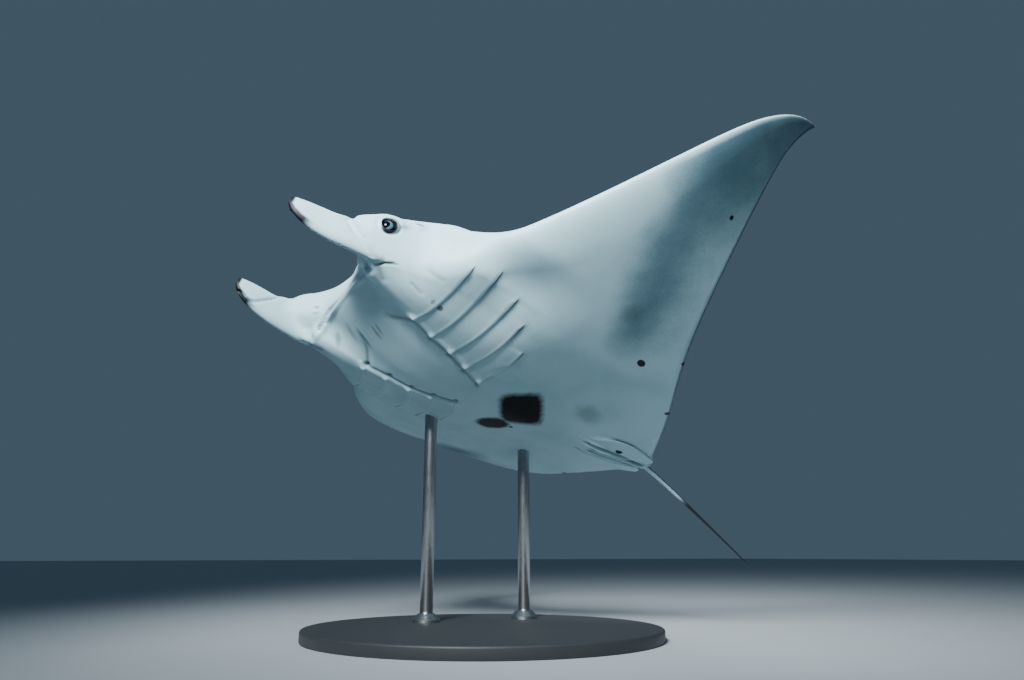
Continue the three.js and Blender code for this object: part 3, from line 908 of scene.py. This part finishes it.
# ------------------------------------------------------------------ materials
def fill(tree, made, inputs):
    """Gives a node's inputs values, or other nodes' outputs."""
    for key, value in inputs.items():
        socket = made.inputs[key]
        if isinstance(value, bpy.types.NodeSocket):
            tree.links.new(value, socket)
        else:
            socket.default_value = value


def node(tree, kind, inputs=None, **settings):
    """Adds a node, sets its options and fills its inputs."""
    made = tree.nodes.new(kind)
    for name, value in settings.items():
        setattr(made, name, value)
    fill(tree, made, inputs or {})
    return made


def new_material(name):
    material = bpy.data.materials.new(name)
    material.use_nodes = True
    tree = material.node_tree
    return material, tree, tree.nodes["Principled BSDF"]


def math_node(tree, operation, *values):
    return node(tree, "ShaderNodeMath", dict(enumerate(values)), operation=operation).outputs[0]


def product(tree, first, *others):
    for other in others:
        first = math_node(tree, "MULTIPLY", first, other)
    return first


def highest(tree, first, *others):
    for other in others:
        first = math_node(tree, "MAXIMUM", first, other)
    return first


def noise(tree, vector, scale, detail):
    return node(tree, "ShaderNodeTexNoise", {
        "Vector": vector, "Scale": scale, "Detail": detail}).outputs[0]


def blend(tree, factor, low, high):
    made = node(tree, "ShaderNodeMix", {"Factor": factor}, data_type="RGBA")
    fill(tree, made, {6: low, 7: high})
    return made.outputs[2]


def span(tree, value, low, high, to_low=0.0, to_high=1.0):
    return node(tree, "ShaderNodeMapRange", {
        "Value": value, "From Min": low, "From Max": high, "To Min": to_low, "To Max": to_high},
        interpolation_type="SMOOTHSTEP").outputs[0]


def local_frame(tree, vector, centre, size, turn=0.0):
    """Coordinates counted from a centre in units of a size, turned about the z axis."""
    return node(tree, "ShaderNodeMapping", {
        "Vector": vector, "Location": centre, "Rotation": (0, 0, turn), "Scale": size},
        vector_type="TEXTURE").outputs[0]


def bump(tree, height, strength, distance):
    return node(tree, "ShaderNodeBump", {
        "Height": height, "Strength": strength, "Distance": distance}).outputs[0]


def rgba(colour_value):
    return (*colour_value, 1.0)


FLAT_AXIS = 1e6  # a size along an axis that a shape ignores

# Dark spots of the belly.  x, y, half length, half width, turn in degrees, corner power (2 round,
# more square), softness, strength
SPOTS = (
    (-.866, .041, .096, .078, 54, 4.5, .40, 1.0),
    (-.842, -.118, .064, .047, -52, 2.2, .50, 1.0),
    (-.266, -.010, .026, .0065, 14, 2.0, 1.2, .48),
    (-.262, .012, .022, .0060, 20, 2.0, 1.2, .40),
    (-.250, -.080, .040, .0085, 15, 2.0, 1.0, .50),
    (-.200, -.105, .034, .009, 25, 2.0, 1.2, .26),
    (-.182, -.170, .020, .010, 40, 2.0, 1.0, .40),
    (-.910, -.092, .0075, .0075, 0, 2.0, .30, .95),
    (-1.085, .152, .055, .034, 20, 2.0, 1.3, .34),
    (-1.062, .461, .0180, .0125, 15, 2.0, .22, 1.0),
    (-.971, 1.033, .0085, .0080, 0, 2.0, .22, 1.0),
    (-.891, .593, .040, .034, 0, 2.0, 1.3, .30),
    (-.361, .276, .0100, .0090, 0, 2.0, .5, .75),
    (-.328, .283, .0070, .0080, 0, 2.0, .6, .45),
    (-1.327, .050, .0165, .0080, 0, 2.0, .3, 1.0),
) + tuple((x, side * y, long, .0080, 0, 2.0, .3, .95) for x, y, long in
          ((-1.204, .533, .0140), (-1.328, .314, .0110)) for side in (1, -1))


def spots_mask(tree, flat):
    """Highest strength of the belly spots at each place; their edges are broken up by noise."""
    wobble = noise(tree, flat, 55.0, 3.0)
    total = 0.0
    for x, y, long, wide, turn, power, soft, strength in SPOTS:
        moved = local_frame(tree, flat, (x, y, 0), (long, wide, FLAT_AXIS), math.radians(turn))
        parts = node(tree, "ShaderNodeSeparateXYZ", {"Vector": moved}).outputs
        powers = [math_node(tree, "POWER", math_node(tree, "ABSOLUTE", parts[i]), power)
                  for i in (0, 1)]
        away = math_node(tree, "POWER", math_node(tree, "ADD", *powers), 1 / power)
        rough = math_node(tree, "MULTIPLY_ADD", wobble, .5 * soft, -.25 * soft)
        edge = math_node(tree, "ADD", away, rough)
        total = highest(tree, total, span(tree, edge, 1 + soft / 2, 1 - soft / 2, 0, strength))
    return total


def underside(tree, flat, smoke_share, broad, uneven, colours):
    """Pale belly with faint clouding, the smoky parts of the wings, and the spots."""
    clouding = span(tree, broad, .40, .72, 0, .30)
    pale = blend(tree, clouding, rgba(colours.belly), rgba(colours.belly_shade))
    smoke = product(tree, math_node(tree, "MULTIPLY_ADD", uneven, .55, smoke_share),
                    span(tree, smoke_share, 0, .25))
    smoky = blend(tree, span(tree, smoke, .05, .95, 0, .95), pale, rgba(colours.smoke))
    return blend(tree, spots_mask(tree, flat), smoky, rgba(colours.ink))


def upper_side(tree, flat, broad, colours):
    """Near black back with a pale slanting patch over each shoulder."""
    place_on = node(tree, "ShaderNodeSeparateXYZ", {"Vector": flat}).outputs
    across = math_node(tree, "ABSOLUTE", place_on["Y"])
    front = math_node(tree, "MULTIPLY_ADD", across, -.55, -.30)
    behind = math_node(tree, "SUBTRACT", front, place_on["X"])
    behind = math_node(tree, "ADD", behind, math_node(tree, "MULTIPLY_ADD", broad, .10, -.05))
    patch = product(tree, span(tree, behind, -.03, .06), span(tree, behind, .20, .10),
                    span(tree, across, .07, .16), span(tree, across, .75, .45), .75)
    return blend(tree, patch, rgba(colours.back), rgba(colours.shoulder))


def skin_material(colours):
    """Manta skin, painted cast: satin and very slightly uneven, pale below, near black above."""
    material, tree, surface = new_material("manta skin, satin")
    flat = node(tree, "ShaderNodeAttribute", attribute_name="flat").outputs["Vector"]
    share = {name: node(tree, "ShaderNodeAttribute", attribute_name=name).outputs["Fac"]
             for name in ("smoke", "ink", "back", "slit", "slit_ink", "from_rear")}
    broad = noise(tree, flat, 9.0, 4.0)
    fine = noise(tree, flat, 130.0, 4.0)
    patchy = math_node(tree, "MULTIPLY_ADD", broad, .5, product(tree, fine, .3))
    uneven = math_node(tree, "MULTIPLY_ADD", patchy, 1.1, -.44)

    below = underside(tree, flat, share["smoke"], broad, uneven, colours)
    above = upper_side(tree, flat, broad, colours)
    edge = math_node(tree, "MULTIPLY_ADD", uneven, .35, share["back"])
    skin = blend(tree, span(tree, edge, .40, .62), below, above)
    hem = span(tree, share["from_rear"], .012, .006, 0, .55)
    # painted shade: a thin dark line along each gill slit, under the overhanging flap ahead of it
    from_slit = math_node(tree, "ABSOLUTE", math_node(tree, "ADD", share["slit"], .0012))
    slit_line = product(tree, span(tree, from_slit, .0042, .0012), share["slit_ink"])
    # darkest of the trailing edge's dark hem, the slits' painted shade and the vertices' ink and
    # painted shade
    ink = highest(tree, hem, slit_line, share["ink"])

    grain = node(tree, "ShaderNodeTexVoronoi", {"Vector": flat, "Scale": 420.0}).outputs["Distance"]
    height = math_node(tree, "MULTIPLY_ADD", fine, 1.5, product(tree, grain, .5))
    fill(tree, surface, {
        "Base Color": blend(tree, ink, skin, rgba(colours.ink)),
        "Roughness": span(tree, patchy, .25, .6, .48, .62),
        "Normal": bump(tree, height, .35, .0006),
        "Specular IOR Level": .24, "Coat Weight": .04, "Coat Roughness": .30})
    return material


def eye_material(colours):
    """Glass eye: clear gloss over a black pupil, a flecked iris and a dark rim."""
    material, tree, surface = new_material("glass eye")
    local = node(tree, "ShaderNodeAttribute", attribute_name="gaze").outputs["Vector"]

    def from_middle(centre, size):
        shape = local_frame(tree, local, centre, size)
        return node(tree, "ShaderNodeVectorMath", {0: shape}, operation="LENGTH").outputs["Value"]

    pupil = from_middle((.0115, 0, -.005), (.0115, FLAT_AXIS, .0140))
    ring = from_middle((.004, 0, -.002), (.0180, FLAT_AXIS, .0185))
    flecks = span(tree, noise(tree, local, 700.0, 3.0), .35, .7, 0, .55)
    iris = blend(tree, flecks, rgba(colours.iris), rgba(colours.smoke))
    iris = blend(tree, span(tree, ring, .82, 1.06), iris, rgba(colours.ink))
    fill(tree, surface, {
        "Base Color": blend(tree, span(tree, pupil, 1.12, .95), iris, (.002, .002, .003, 1)),
        "Roughness": .04, "Specular IOR Level": .22})
    return material


def paint_material(colour_value):
    """Powder coat: fine even texture, low gloss."""
    material, tree, surface = new_material("powder coat")
    grain = noise(tree, node(tree, "ShaderNodeTexCoord").outputs["Object"], 900.0, 2.0)
    fill(tree, surface, {
        "Base Color": rgba(colour_value), "Roughness": span(tree, grain, .3, .7, .45, .60),
        "Normal": bump(tree, grain, .25, .0004)})
    return material


def steel_material(colour_value):
    """Stainless steel, brushed along the rods."""
    material, tree, surface = new_material("brushed steel")
    place_on = node(tree, "ShaderNodeTexCoord").outputs["Object"]
    drawn = node(tree, "ShaderNodeMapping", {"Vector": place_on, "Scale": (1, 1, .02)}).outputs[0]
    lines = noise(tree, drawn, 1400.0, 2.0)
    fill(tree, surface, {
        "Base Color": rgba(colour_value), "Metallic": 1.0,
        "Roughness": span(tree, lines, .3, .7, .24, .38),
        "Normal": bump(tree, lines, .12, .0002)})
    return material


def plain_material(name, colour_value, roughness):
    material, tree, surface = new_material(name)
    fill(tree, surface, {"Base Color": rgba(colour_value), "Roughness": roughness})
    return material


# ------------------------------------------------------------------ operators
SKIN_NODES = ("head", "trunk_front", "trunk_rear", "wing_inner_left", "wing_inner_right",
              "wing_outer_left", "wing_outer_right", "cephalic_fin_left", "cephalic_fin_right",
              "pelvic_fin_left", "pelvic_fin_right", "dorsal_fin", "tail_base", "tail_middle",
              "tail_tip")


class MANTA_OT_skin(bpy.types.Operator):
    """Shapes the flat animal, joins its fins and tail, and bends it into its pose"""
    bl_idname = "manta.skin"
    bl_label = "Skin"

    def execute(self, context):
        body = solid("manta_skin", DISC, disc_sheet)
        for mirror in (1, -1):
            join(body, solid("horn", HORN, horn_sheet, mirror))
            join(body, solid("pelvic", PELVIC_LOBE, pelvic_sheet, mirror))
        join(body, solid("dorsal", DORSAL_BLADE, dorsal_sheet))
        join(body, solid("tail", WHIP, tail_sheet))
        mesh = body.data
        part = finish_skin(mesh)
        points = vectors(mesh, "co")
        store(mesh, "flat", points)
        for name, values in markings(points, vectors(mesh, "normal"), part).items():
            store(mesh, name, values)
        set_coordinates(mesh, place(points, context.scene.manta_pose))
        mesh.materials.clear()
        for number in PARTS:
            bpy.data.materials.remove(marker(number))
        mesh.materials.append(skin_material(context.scene.manta_colours))
        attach(body, "root")
        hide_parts(*SKIN_NODES)
        return {"FINISHED"}


CRISP = math.radians(40)


def turned(bm, profile, steps):
    """Spins a profile of radius and height once round the z axis."""
    verts = [bm.verts.new((radius, 0, height)) for radius, height in profile]
    edges = [bm.edges.new(pair) for pair in zip(verts, verts[1:])]
    bmesh.ops.spin(bm, geom=verts + edges, cent=(0, 0, 0), axis=(0, 0, 1), angle=2 * math.pi,
                   steps=steps, use_merge=True)
    bmesh.ops.remove_doubles(bm, verts=bm.verts, dist=TINY)
    bmesh.ops.recalc_face_normals(bm, faces=bm.faces)


def arc(radius, start, end, steps):
    """Points of an arc round the origin, by the angle from the upright axis."""
    return [(radius * math.sin(angle), radius * math.cos(angle))
            for angle in (start + (end - start) * i / steps for i in range(steps + 1))]


def eyeball(bm):
    """An eyeball looking along +y."""
    turned(bm, arc(EYE_RADIUS - EYE_PLAY, 0, math.pi, 28), 48)
    bmesh.ops.rotate(bm, verts=bm.verts, cent=(0, 0, 0),
                     matrix=Matrix.Rotation(-math.pi / 2, 3, "X"))


class MANTA_OT_eyes(bpy.types.Operator):
    """Turns the two glass eyes and sets them into their sockets"""
    bl_idname = "manta.eyes"
    bl_label = "Eyes"

    def execute(self, context):
        material = eye_material(context.scene.manta_colours)
        for side, mirror in (("left", 1), ("right", -1)):
            bm = bmesh.new()
            eyeball(bm)
            eye = to_object(bm, f"eye_glass_{side}")
            local = vectors(eye.data, "co")
            store(eye.data, "gaze", local)
            flat = (local + EYE) * (1, mirror, 1)
            set_coordinates(eye.data, place(flat, context.scene.manta_pose))
            if mirror < 0:
                eye.data.flip_normals()
            eye.data.materials.append(material)
            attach(eye, "root")
            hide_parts(f"eye_{side}")
        return {"FINISHED"}


# Where each rod meets the belly of the flat animal.  x, y
FEET = {"front": (-.620, -.270), "rear": (-1.060, -.250)}
GAP = .0004  # between stand pieces that touch
SUNK = .010  # how far under the body's middle sheet a rod ends
BEVEL = .008


def base_profile(settings):
    radius, thick = settings.base_radius, settings.base_thick
    rim = [(radius - BEVEL + out, thick - BEVEL + up) for out, up in arc(BEVEL, 0, math.pi / 2, 6)]
    return [(0, thick)] + rim + [(radius, .004), (radius - .003, 0), (0, 0)]


def rod_profile(settings, top):
    rod, thick = settings.rod_radius, settings.base_thick
    return [(0, thick + GAP), (rod - .001, thick + GAP), (rod, thick + .002),
            (rod, top - SUNK - .002), (rod - .002, top - SUNK), (0, top - SUNK)]


def collar_profile(settings):
    bore, wide = settings.rod_radius + .0003, settings.collar_radius
    thick, top = settings.base_thick, settings.base_thick + settings.collar_height
    return [(bore, thick + GAP), (wide, thick + GAP), (wide, thick + .010),
            (wide - .003, thick + .013), (bore + .012, top - .005), (bore + .007, top),
            (bore, top), (bore, thick + GAP)]


def stand_piece(name, profile, steps, foot, material, node_name):
    bm = bmesh.new()
    turned(bm, profile, steps)
    bmesh.ops.translate(bm, verts=bm.verts, vec=(*foot, 0))
    piece = to_object(bm, name, CRISP)
    piece.data.materials.append(material)
    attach(piece, "root")
    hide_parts(node_name)


class MANTA_OT_stand(bpy.types.Operator):
    """Turns the round base, the two rods and their collars"""
    bl_idname = "manta.stand"
    bl_label = "Stand"

    def execute(self, context):
        settings = context.scene.manta_stand
        steel = steel_material(settings.steel)
        stand_piece("stand_plate", base_profile(settings), 128, (0, 0),
                    paint_material(settings.paint), "stand_base")
        for name, (x, y) in FEET.items():
            *foot, top = place([(x, y, 0)], context.scene.manta_pose)[0]
            stand_piece(f"stand_post_{name}", rod_profile(settings, top), 48, foot, steel,
                        f"stand_rod_{name}")
            stand_piece(f"stand_ring_{name}", collar_profile(settings), 64, foot, steel,
                        f"stand_collar_{name}")
        return {"FINISHED"}


FLOOR_SIZE = 40
AMBIENT_COLOUR = (.44, .70, .95, 1)
# Place, aim, size, spread in degrees, colour
LIGHTS = {"key": ((2.7, -2.9, 3.6), (.25, .20, 1.38), 1.4, 57, (.97, .99, 1)),
          "top": ((-1.6, 1.2, 4.8), (0, 0, 1.25), 2.2, 70, (.94, .98, 1))}
CAMERA_AT = (2.614, -1.342, .281)
CAMERA_HEADING = (-.8440, .4698, .2588)
SENSOR = 36
LENS = SENSOR * 800 / 1024


def area_light(name, watts, location, aim, size, spread, colour_value):
    lamp = bpy.data.lights.new(name, "AREA")
    lamp.size = size
    lamp.spread = math.radians(spread)
    lamp.energy = watts
    lamp.color = colour_value
    light = bpy.data.objects.new(name, lamp)
    light.location = location
    light.rotation_euler = (Vector(aim) - Vector(location)).to_track_quat("-Z", "Y").to_euler()
    bpy.context.scene.collection.objects.link(light)


class MANTA_OT_stage(bpy.types.Operator):
    """Sets the floor and backdrop, the lights and the camera"""
    bl_idname = "manta.stage"
    bl_label = "Stage"

    def execute(self, context):
        settings = context.scene.manta_stage
        world = bpy.data.worlds.new("studio")
        world.use_nodes = True
        fill(world.node_tree, world.node_tree.nodes["Background"],
             {"Color": AMBIENT_COLOUR, "Strength": settings.ambient})
        context.scene.world = world
        bm = bmesh.new()
        bmesh.ops.create_grid(bm, x_segments=1, y_segments=1, size=FLOOR_SIZE)
        floor = to_object(bm, "floor")
        floor.data.materials.append(plain_material("matt floor", settings.floor, .8))
        for name, light in LIGHTS.items():
            area_light(name, getattr(settings, f"{name}_watts"), *light)
        data = bpy.data.cameras.new("camera")
        data.sensor_width = SENSOR
        data.lens = LENS
        camera = bpy.data.objects.new("camera", data)
        camera.location = CAMERA_AT
        camera.rotation_euler = Vector(CAMERA_HEADING).to_track_quat("-Z", "Y").to_euler()
        context.scene.collection.objects.link(camera)
        context.scene.camera = camera
        return {"FINISHED"}


class MANTA_PT_panel(bpy.types.Panel):
    bl_label = "Manta ray model"
    bl_idname = "MANTA_PT_panel"
    bl_space_type = "VIEW_3D"
    bl_region_type = "UI"
    bl_category = "Manta"

    def draw(self, context):
        for title, group, operator in (("Body", "manta_pose", "manta.skin"),
                                       ("Colours", "manta_colours", "manta.eyes"),
                                       ("Stand", "manta_stand", "manta.stand"),
                                       ("Stage", "manta_stage", "manta.stage")):
            box = self.layout.box()
            box.label(text=title)
            settings = getattr(context.scene, group)
            for name in settings.__annotations__:
                box.prop(settings, name)
            box.operator(operator)


GROUPS = {"manta_pose": MantaPose, "manta_colours": MantaColours, "manta_stand": StandSettings,
          "manta_stage": StageSettings}
OPERATORS = (MANTA_OT_skin, MANTA_OT_eyes, MANTA_OT_stand, MANTA_OT_stage)


def register():
    for cls in (*GROUPS.values(), *OPERATORS, MANTA_PT_panel):
        bpy.utils.register_class(cls)
    for name, group in GROUPS.items():
        setattr(bpy.types.Scene, name, bpy.props.PointerProperty(type=group))


def unregister():
    for name in GROUPS:
        delattr(bpy.types.Scene, name)
    for cls in (MANTA_PT_panel, *OPERATORS, *GROUPS.values()):
        bpy.utils.unregister_class(cls)


def main():
    register()
    bpy.ops.manta.skin()
    bpy.ops.manta.eyes()
    bpy.ops.manta.stand()
    bpy.ops.manta.stage()


if __name__ == "__main__":
    main()
